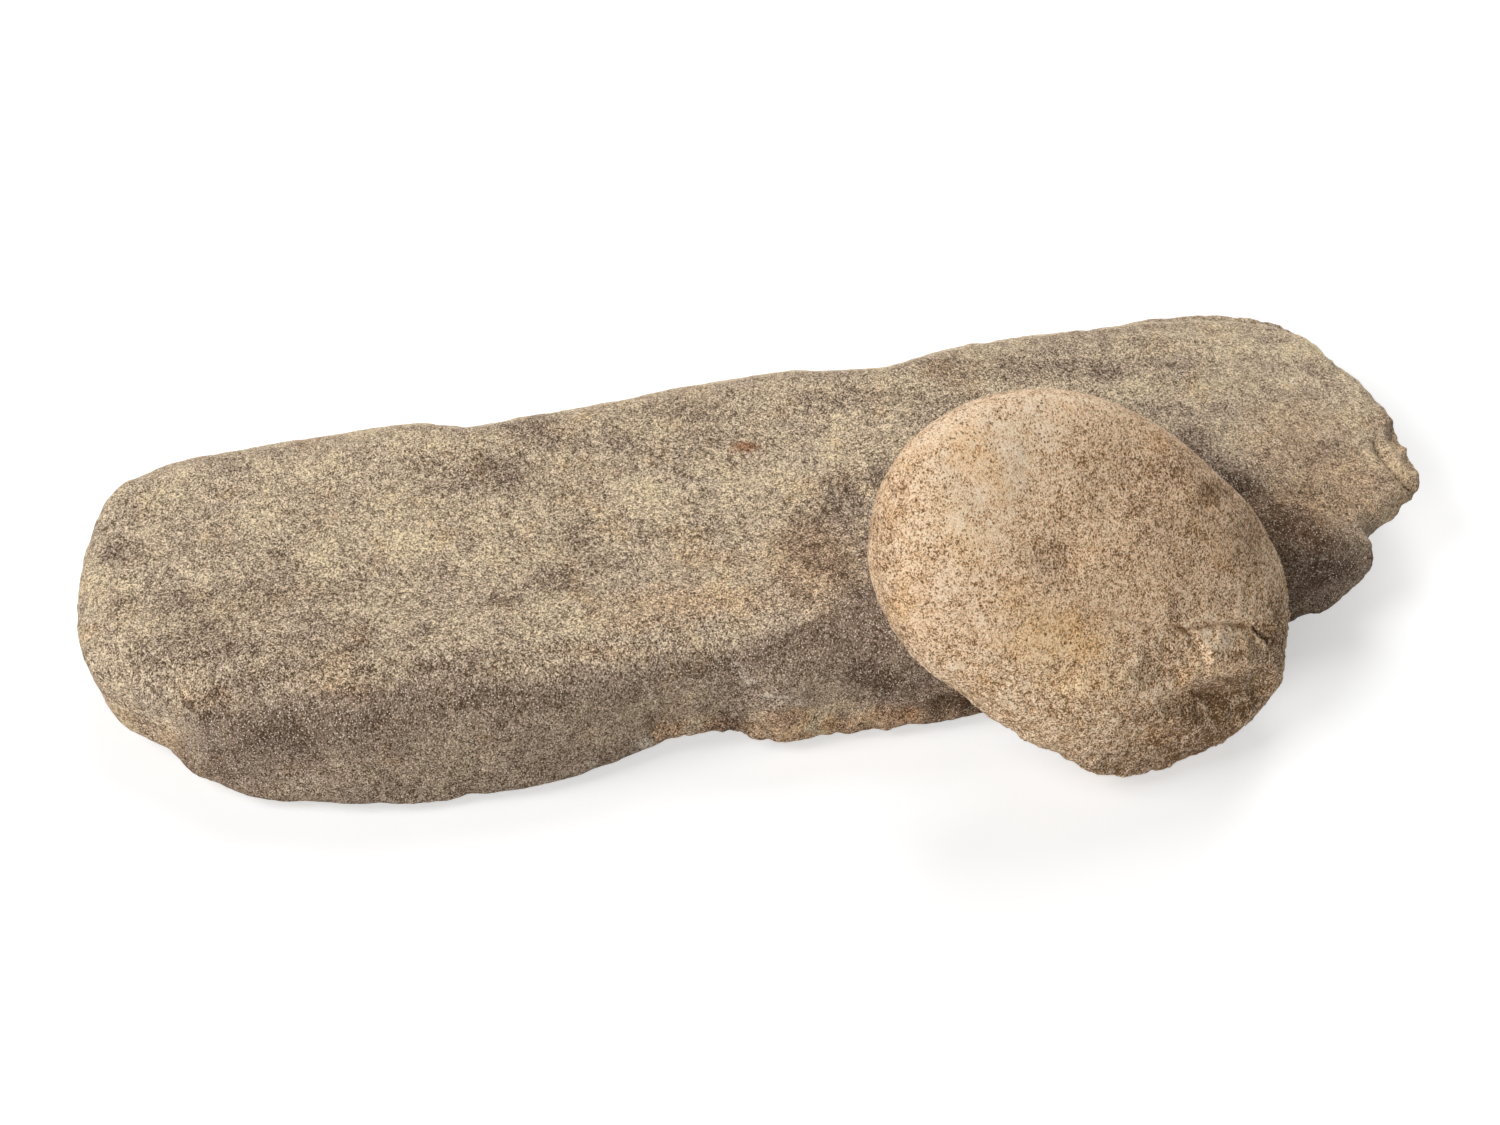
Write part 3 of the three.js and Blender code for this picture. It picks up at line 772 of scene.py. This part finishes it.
def sand_grains():
    """Sand: a tone that wavers about 0, bright glints, dark pits with their stained rims, and a height."""
    found = bpy.data.node_groups.get("Sand grains")
    if found:
        return found
    tree, inside, out = group_tree(
        "Sand grains",
        (
            ("Vector", "Vector", None),
            ("Grains", "Float", 2200.0),
            ("Contrast", "Float", 1.0),
            ("Clumps", "Float", 1.0),
            ("Glints", "Float", 0.05),
            ("Pits", "Float", 0.1),
        ),
        (("Tone", "Float"), ("Glint", "Float"), ("Pit", "Float"), ("Rim", "Float"), ("Height", "Float")),
    )
    where = inside["Vector"]

    def cells(share):
        scale = calc(tree, "MULTIPLY", inside["Grains"], share)
        node = add(tree, "ShaderNodeTexVoronoi", {"Vector": where, "Scale": scale})
        parts = add(tree, "ShaderNodeSeparateColor", {"Color": node.outputs["Color"]}).outputs
        return node.outputs["Distance"], parts

    def chosen(value, share):
        return calc(tree, "GREATER_THAN", value, calc(tree, "SUBTRACT", 1.0, share))

    def add_part(tone, value, share):
        return calc(tree, "MULTIPLY_ADD", calc(tree, "SUBTRACT", value, 0.5), share, tone)

    grain_near, grain = cells(1.0)
    clump_near, clump = cells(CLUMPS)
    large_near, large = cells(LARGE_PITS)
    fine = cells(FINE_GRAINS)[1]
    cloud_scale = calc(tree, "MULTIPLY", inside["Grains"], CLOUDS)
    cloud_inputs = {"Vector": where, "Scale": cloud_scale, "Detail": 3.0, "Roughness": 0.85}
    cloud = add(tree, "ShaderNodeTexNoise", cloud_inputs).outputs["Fac"]

    tone = add_part(add_part(0.0, clump[0], CLUMP_TONE), cloud, CLOUD_TONE)
    tone = calc(tree, "MULTIPLY", tone, inside["Clumps"])
    tone = add_part(add_part(tone, grain[0], GRAIN_TONE), fine[0], GRAIN_TONE)
    tree.links.new(calc(tree, "MULTIPLY", tone, inside["Contrast"]), out["Tone"])

    bright = chosen(grain[1], inside["Glints"])
    glint = calc(tree, "MULTIPLY", bright, between(tree, grain_near, *GLINT_REACH))
    tree.links.new(glint, out["Glint"])

    open_small = chosen(clump[2], inside["Pits"])
    open_large = chosen(large[2], calc(tree, "MULTIPLY", inside["Pits"], LARGE_PIT_SHARE))

    def round_pits(small_reach, large_reach):
        small = calc(tree, "MULTIPLY", open_small, between(tree, clump_near, *small_reach))
        wide = calc(tree, "MULTIPLY", open_large, between(tree, large_near, *large_reach))
        return calc(tree, "MAXIMUM", small, wide)

    pit = round_pits(SMALL_PIT, LARGE_PIT)
    tree.links.new(pit, out["Pit"])
    tree.links.new(round_pits(SMALL_RIM, LARGE_RIM), out["Rim"])

    height = calc(tree, "SUBTRACT", 1.0, grain_near)
    for value, step in ((grain[2], GRAIN_STEP), (clump[1], CLUMP_STEP)):
        height = calc(tree, "MULTIPLY_ADD", value, step, height)
    tree.links.new(calc(tree, "MULTIPLY_ADD", pit, -PIT_DEPTH, height), out["Height"])
    return tree


def patches():
    """Soft-edged patches of one size, as a mask."""
    found = bpy.data.node_groups.get("Patches")
    if found:
        return found
    tree, inside, out = group_tree(
        "Patches",
        (
            ("Vector", "Vector", None),
            ("Scale", "Float", 40.0),
            ("Roughness", "Float", 0.6),
            ("Low", "Float", 0.45),
            ("High", "Float", 0.65),
        ),
        (("Mask", "Float"),),
    )
    inputs = {name: inside[name] for name in ("Vector", "Scale", "Roughness")}
    cloud = add(tree, "ShaderNodeTexNoise", {**inputs, "Detail": 4.0})
    tree.links.new(between(tree, cloud.outputs["Fac"], inside["Low"], inside["High"]), out["Mask"])
    return tree


def tinted():
    """A colour multiplied by a tint where a mask lies."""
    found = bpy.data.node_groups.get("Tinted")
    if found:
        return found
    tree, inside, out = group_tree(
        "Tinted",
        (
            ("Colour", "Color", None),
            ("Mask", "Float", 0.0),
            ("Tint", "Color", None),
            ("Strength", "Float", 1.0),
        ),
        (("Colour", "Color"),),
    )
    factor = calc(tree, "MULTIPLY", inside["Mask"], inside["Strength"])
    tree.links.new(blend(tree, factor, inside["Colour"], inside["Tint"], "MULTIPLY"), out["Colour"])
    return tree


def cover(tree, where, source):
    """A mask that the mesh carries, or patches of a scale, roughness, low and high."""
    if isinstance(source, str):
        return mask(tree, source)
    inputs = dict(zip(("Scale", "Roughness", "Low", "High"), source))
    return place(tree, patches(), {"Vector": where, **inputs})["Mask"]


def placed_sand(tree, where, look):
    """The sand's grains, as the crust, calm and dark masks change them."""
    crust = mask(tree, "crust")
    calm = calc(tree, "MULTIPLY_ADD", mask(tree, "calm"), CALM_CONTRAST, 1.0)
    contrast = calc(tree, "MULTIPLY_ADD", crust, CRUST_CONTRAST, 1.0)
    pits = calc(tree, "MULTIPLY_ADD", mask(tree, "dark"), DARK_PITS, look.pits * PLAIN_PITS)
    pits = calc(tree, "MULTIPLY_ADD", cover(tree, where, PIT_CLUSTERS), look.pits * CLUSTER_PITS, pits)
    return place(tree, sand_grains(), {
        "Vector": where,
        "Grains": 1 / look.grain,
        "Contrast": calc(tree, "MULTIPLY", contrast, calm),
        "Clumps": calc(tree, "MULTIPLY_ADD", crust, CRUST_CLUMPS, look.clumps),
        "Glints": calc(tree, "MULTIPLY_ADD", crust, look.crust_glints, look.glints),
        "Pits": calc(tree, "MULTIPLY_ADD", crust, CRUST_PITS * look.pits, pits),
    })


def sand_ramp(tree, where, tone, look, shifts):
    """The sand's colour from its grains' tone, which each shift makes darker or paler."""
    tone = calc(tree, "MULTIPLY_ADD", tone, look.contrast, 0.5)
    for source, amount in shifts:
        middle = 0.0 if isinstance(source, str) else -amount / 2
        shift = calc(tree, "MULTIPLY_ADD", cover(tree, where, source), amount, middle)
        tone = calc(tree, "ADD", tone, shift)
    ramp = add(tree, "ShaderNodeValToRGB", {"Fac": tone})
    start, end = ramp.color_ramp.elements
    start.position, start.color = RAMP_START, (*look.dark_grain, 1)
    end.position, end.color = RAMP_END, (*look.pale_grain, 1)
    ramp.color_ramp.elements.new(0.5).color = (*look.colour, 1)
    return ramp.outputs[0]


def sandstone(name, look, shifts, tints):
    """Grainy matt sandstone. Shifts make its grains darker or paler, and tints colour them."""
    material, tree = empty_material(name)
    spot = add(tree, "ShaderNodeTexCoord").outputs["Object"]
    where = add(tree, "ShaderNodeMapping", {"Vector": spot, "Scale": GRAIN_STRETCH}).outputs[0]
    grains = placed_sand(tree, where, look)
    colour = sand_ramp(tree, where, grains["Tone"], look, shifts)
    covers = [(cover(tree, where, source), tint, strength) for source, tint, strength in tints]
    for covered, tint, strength in (*covers, (grains["Rim"], look.rim_tint, RIM_STRENGTH)):
        tint_inputs = {"Colour": colour, "Mask": covered, "Tint": (*tint, 1), "Strength": strength}
        colour = place(tree, tinted(), tint_inputs)["Colour"]
    chalk = calc(tree, "MULTIPLY", mask(tree, "chalk"), between(tree, grains["Tone"], *CHALK_GRAINS))
    for covered, over in (
        (calc(tree, "MULTIPLY", grains["Pit"], PIT_STRENGTH), look.pit_colour),
        # Glints: pale crystals whose sparkle is painted into the colour as painted glints
        (calc(tree, "MULTIPLY", grains["Glint"], GLINT_STRENGTH), look.glint_colour),
        (chalk, look.chalk),
    ):
        colour = blend(tree, covered, colour, (*over, 1))
    bump = add(tree, "ShaderNodeBump", {
        "Height": grains["Height"],
        "Distance": look.grain * RELIEF_HEIGHT,
        "Strength": look.bump,
    })
    surface = add(tree, "ShaderNodeBsdfPrincipled", {
        "Base Color": colour,
        "Roughness": SAND_ROUGHNESS,
        "Specular IOR Level": SAND_SPECULAR,
        "Normal": bump.outputs[0],
    })
    add(tree, "ShaderNodeOutputMaterial", {"Surface": surface.outputs[0]})
    return material


def slab_sandstone(look):
    """The slab's grey-brown sandstone, with its crust, stains and raw edges."""
    return sandstone("Slab sandstone", look, SLAB_SHIFTS, SLAB_TINTS)


def hand_sandstone(look):
    """The hand stone's tan sandstone, with its ochre and dark patches, its dark marks partly painted shade
    and its pale marks partly painted light.
    """
    return sandstone("Hand sandstone", look, HAND_SHIFTS, HAND_TINTS)


def white_floor(look):
    """A matt white floor that the camera sees whiter, and white all through far from the stones."""
    material, tree = empty_material("White floor")
    seen = add(tree, "ShaderNodeLightPath").outputs["Is Camera Ray"]
    paleness = between(tree, seen, 0.0, 1.0, look.floor, look.floor_seen)
    matt = add(tree, "ShaderNodeBsdfDiffuse", {"Color": paleness})
    spot = add(tree, "ShaderNodeTexCoord").outputs["Object"]
    away = add(tree, "ShaderNodeVectorMath", {0: spot}, operation="LENGTH").outputs["Value"]
    white = between(tree, away, look.glow_start, look.glow_end, look.floor_glow, 1.0)
    glow = add(tree, "ShaderNodeEmission", {"Strength": calc(tree, "MULTIPLY", seen, white)})
    both = add(tree, "ShaderNodeAddShader", {0: matt.outputs[0], 1: glow.outputs[0]})
    add(tree, "ShaderNodeOutputMaterial", {"Surface": both.outputs[0]})
    return material


def lay_floor(scene, look):
    """Lays the floor just under the stones."""
    mesh = bpy.data.meshes.new("floor")
    sheet = bmesh.new()
    bmesh.ops.create_grid(sheet, x_segments=1, y_segments=1, size=FLOOR_REACH)
    bmesh.ops.translate(sheet, verts=sheet.verts, vec=(0, 0, -FLOOR_DROP))
    sheet.to_mesh(mesh)
    sheet.free()
    floor = bpy.data.objects.new("floor", mesh)
    scene.collection.objects.link(floor)
    mesh.materials.append(white_floor(look))


def light_room(scene, look):
    """Fills the room with faint white light, which the camera sees as plain white."""
    world = bpy.data.worlds.new("White room")
    scene.world = world
    world.use_nodes = True
    tree = world.node_tree
    tree.nodes.clear()
    seen = add(tree, "ShaderNodeLightPath").outputs["Is Camera Ray"]
    strength = between(tree, seen, 0.0, 1.0, look.room, 1.0)
    sky = add(tree, "ShaderNodeBackground", {"Color": (1, 1, 1, 1), "Strength": strength})
    add(tree, "ShaderNodeOutputWorld", {"Surface": sky.outputs[0]})


def look_back(held, aim, towards, away):
    """Sets a lamp or camera some way out from its aim, and turns it to look back."""
    held.location = Vector(aim) + towards * away
    held.rotation_euler = (-towards).to_track_quat("-Z", "Y").to_euler()


def hang_lamps(scene, look):
    """Hangs the round lamps."""
    for name, turn, rise, power in LAMPS:
        lamp = bpy.data.lights.new(name, "AREA")
        lamp.shape = "DISK"
        lamp.size = look.lamp_width
        lamp.energy = getattr(look, power)
        held = bpy.data.objects.new(name, lamp)
        look_back(held, (0, 0, 0), heading(turn, rise), look.lamp_away)
        scene.collection.objects.link(held)


def set_camera(scene, look):
    """Sets the camera at the photograph's angle."""
    lens = bpy.data.cameras.new("Camera")
    lens.lens = LENS
    lens.sensor_width = SENSOR
    camera = bpy.data.objects.new("Camera", lens)
    look_back(camera, Vector(CAMERA_AIM) * MM, heading(CAMERA_TURN, CAMERA_RISE), look.distance)
    scene.collection.objects.link(camera)
    scene.camera = camera
    scene.view_settings.view_transform = "Standard"


def amount_of(name, description, default, **more):
    """A number that is never under 0."""
    return bpy.props.FloatProperty(name=name, description=description, default=default, min=0, **more)


def length_of(name, description, default):
    """A length in metres."""
    return amount_of(name, description, default, unit="LENGTH", subtype="DISTANCE", precision=5)


def power_of(name, description, default):
    """A power in watts."""
    return amount_of(name, description, default, unit="POWER")


def share_of(name, description, default):
    """A share from 0 to 1."""
    return amount_of(name, description, default, max=1, subtype="FACTOR")


def colour_of(name, description, default):
    """A colour in linear light."""
    words = {"name": name, "description": description, "subtype": "COLOR"}
    return bpy.props.FloatVectorProperty(default=default, size=3, min=0, max=1, **words)


class SlabLook(bpy.types.PropertyGroup):
    """Sizes and colours of the grinding slab."""

    voxel: length_of("Face size", "Width of the slab's small even faces", 0.0012)
    grain: length_of("Grain", "Width of a grain of sand", 0.0004)
    contrast: amount_of("Contrast", "How much the grains differ in tone", 1.15)
    clumps: amount_of("Clumps", "How much the grains gather in darker and paler clumps", 0.7)
    # Glints: pale crystals with painted glints in their colour
    glints: share_of("Glints", "Share of grains that are bright crystals", 0.03)
    crust_glints: share_of("Glints in the crust", "Share of bright crystals that the dark crust adds", 0.13)
    pits: share_of("Pits", "Share of the surface's small pits that are open", 0.12)
    bump: share_of("Grain relief", "How strongly the grains stand out", 0.7)
    colour: colour_of("Colour", "Middle colour of the sand", (0.47, 0.354, 0.259))
    dark_grain: colour_of("Dark grains", "Colour of the darkest grains", (0.076, 0.045, 0.0185))
    pale_grain: colour_of("Pale grains", "Colour of the palest grains", (0.96, 0.8, 0.59))
    pit_colour: colour_of("Pit colour", "Colour inside the small pits", (0.09, 0.06, 0.035))
    rim_tint: colour_of("Pit rims", "Tint round the small pits", (0.85, 0.78, 0.72))
    glint_colour: colour_of("Glint colour", "Colour of the bright crystals", (0.97, 0.86, 0.7))
    chalk: colour_of("White marks", "Colour of white scuffs and streaks", (0.9, 0.79, 0.64))


class HandLook(bpy.types.PropertyGroup):
    """Sizes and colours of the hand stone."""

    voxel: length_of("Face size", "Width of the hand stone's small even faces", 0.00071)
    grain: length_of("Grain", "Width of a grain of sand", 0.0004)
    contrast: amount_of("Contrast", "How much the grains differ in tone", 1.75)
    clumps: amount_of("Clumps", "How much the grains gather in darker and paler clumps", 0.7)
    # Glints: pale crystals with painted glints in their colour
    glints: share_of("Glints", "Share of grains that are bright crystals", 0.05)
    crust_glints: share_of("Glints in the crust", "Share of bright crystals that a dark crust adds", 0.0)
    pits: share_of("Pits", "Share of the surface's small pits that are open", 0.32)
    bump: share_of("Grain relief", "How strongly the grains stand out", 0.7)
    colour: colour_of("Colour", "Middle colour of the sand", (0.85, 0.574, 0.352))
    dark_grain: colour_of("Dark grains", "Colour of the darkest grains", (0.2, 0.109, 0.044))
    pale_grain: colour_of("Pale grains", "Colour of the palest grains", (1.0, 0.825, 0.61))
    pit_colour: colour_of("Pit colour", "Colour inside the small pits", (0.12, 0.07, 0.035))
    rim_tint: colour_of("Pit rims", "Tint round the small pits", (0.85, 0.72, 0.58))
    glint_colour: colour_of("Glint colour", "Colour of the bright crystals", (0.97, 0.86, 0.68))
    chalk: colour_of("White marks", "Colour of white scuffs", (0.75, 0.66, 0.55))


class StageLook(bpy.types.PropertyGroup):
    """Floor, lamps and camera."""

    floor: share_of("Floor", "How pale the floor is to the lamps", 0.8)
    floor_seen: share_of("Floor as seen", "How pale the floor is to the camera", 0.66)
    floor_glow: share_of("Floor glow", "White added to the floor as it is seen", 0.51)
    glow_start: length_of("Glow start", "Distance from the stones where the floor's glow grows", 0.4)
    glow_end: length_of("Glow end", "Distance from the stones where the floor is all glow", 2.2)
    left_power: power_of("Left lamp", "Power of the lamp at the left", 49)
    back_power: power_of("Back lamp", "Power of the low lamp at the back right", 44)
    front_power: power_of("Front lamp", "Power of the lamp at the front", 35)
    top_power: power_of("Top lamp", "Power of the high lamp at the back", 27)
    room: share_of("Room light", "Strength of the light from all round", 0.02)
    lamp_width: length_of("Lamp width", "Width of each round lamp", 1.6)
    lamp_away: length_of("Lamp distance", "Distance of each lamp from the stones", 3.0)
    distance: length_of("Camera distance", "Camera's distance from the stones", CAMERA_AWAY * MM)


class METATE_OT_slab_stone(bpy.types.Operator):
    """Makes the worn grinding slab with its broken edges and stained skin"""

    bl_idname = "metate.slab_stone"
    bl_label = "Grinding Slab"

    def execute(self, context):
        look = context.scene.slab_look
        piece = even_copy("grinding_slab", "slab_stone", look.voxel, SLAB_STEPS)
        skin = Skin(piece.data, SLAB_WAVER, SLAB_JAGS)
        flat, resting, upright, foot, rugged = slab_zones(skin)
        fine = shape_slab(skin, flat, resting, upright, rugged)
        paint_slab(skin, upright, foot, fine)
        piece.data.materials.append(slab_sandstone(look))
        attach(piece, "slab")
        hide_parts("grinding_slab")
        return {"FINISHED"}


class METATE_OT_hand_stone(bpy.types.Operator):
    """Makes the rounded hand stone with its crack, scoops and pits"""

    bl_idname = "metate.hand_stone"
    bl_label = "Hand Stone"

    def execute(self, context):
        look = context.scene.hand_look
        piece = even_copy("hand_stone", "mano_stone", look.voxel, HAND_STEPS)
        skin = Skin(piece.data, HAND_WAVER, HAND_JAGS)
        ragged = 1 - fade(skin.points[:, 2], *ABOVE_RAGGED_Z)
        fine = shape_hand(skin, ragged)
        paint_hand(skin, ragged, fine)
        piece.data.materials.append(hand_sandstone(look))
        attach(piece, "mano")
        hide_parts("hand_stone")
        return {"FINISHED"}


class METATE_OT_stage(bpy.types.Operator):
    """Lays the white floor and sets the lamps, room light and camera"""

    bl_idname = "metate.stage"
    bl_label = "Stage"

    def execute(self, context):
        look = context.scene.stage_look
        for step in (lay_floor, light_room, hang_lamps, set_camera):
            step(context.scene, look)
        return {"FINISHED"}


class METATE_PT_sidebar(bpy.types.Panel):
    """Lists the stones and the stage"""

    bl_label = "Metate"
    bl_idname = "METATE_PT_sidebar"
    bl_space_type = "VIEW_3D"
    bl_region_type = "UI"
    bl_category = "Metate"

    def draw(self, context):
        for name, operator in LOOKS.items():
            box = self.layout.box()
            box.operator(operator.bl_idname)
            look = getattr(context.scene, name)
            for key in look.bl_rna.properties.keys():
                if key not in ("rna_type", "name"):
                    box.prop(look, key)


LOOKS = {
    "slab_look": METATE_OT_slab_stone,
    "hand_look": METATE_OT_hand_stone,
    "stage_look": METATE_OT_stage,
}
CLASSES = (
    SlabLook,
    HandLook,
    StageLook,
    METATE_OT_slab_stone,
    METATE_OT_hand_stone,
    METATE_OT_stage,
    METATE_PT_sidebar,
)


def register():
    for made in CLASSES:
        bpy.utils.register_class(made)
    bpy.types.Scene.slab_look = bpy.props.PointerProperty(type=SlabLook)
    bpy.types.Scene.hand_look = bpy.props.PointerProperty(type=HandLook)
    bpy.types.Scene.stage_look = bpy.props.PointerProperty(type=StageLook)


def unregister():
    for name in LOOKS:
        delattr(bpy.types.Scene, name)
    for made in reversed(CLASSES):
        bpy.utils.unregister_class(made)


def main():
    register()
    bpy.ops.metate.slab_stone()
    bpy.ops.metate.hand_stone()
    bpy.ops.metate.stage()


if __name__ == "__main__":
    main()
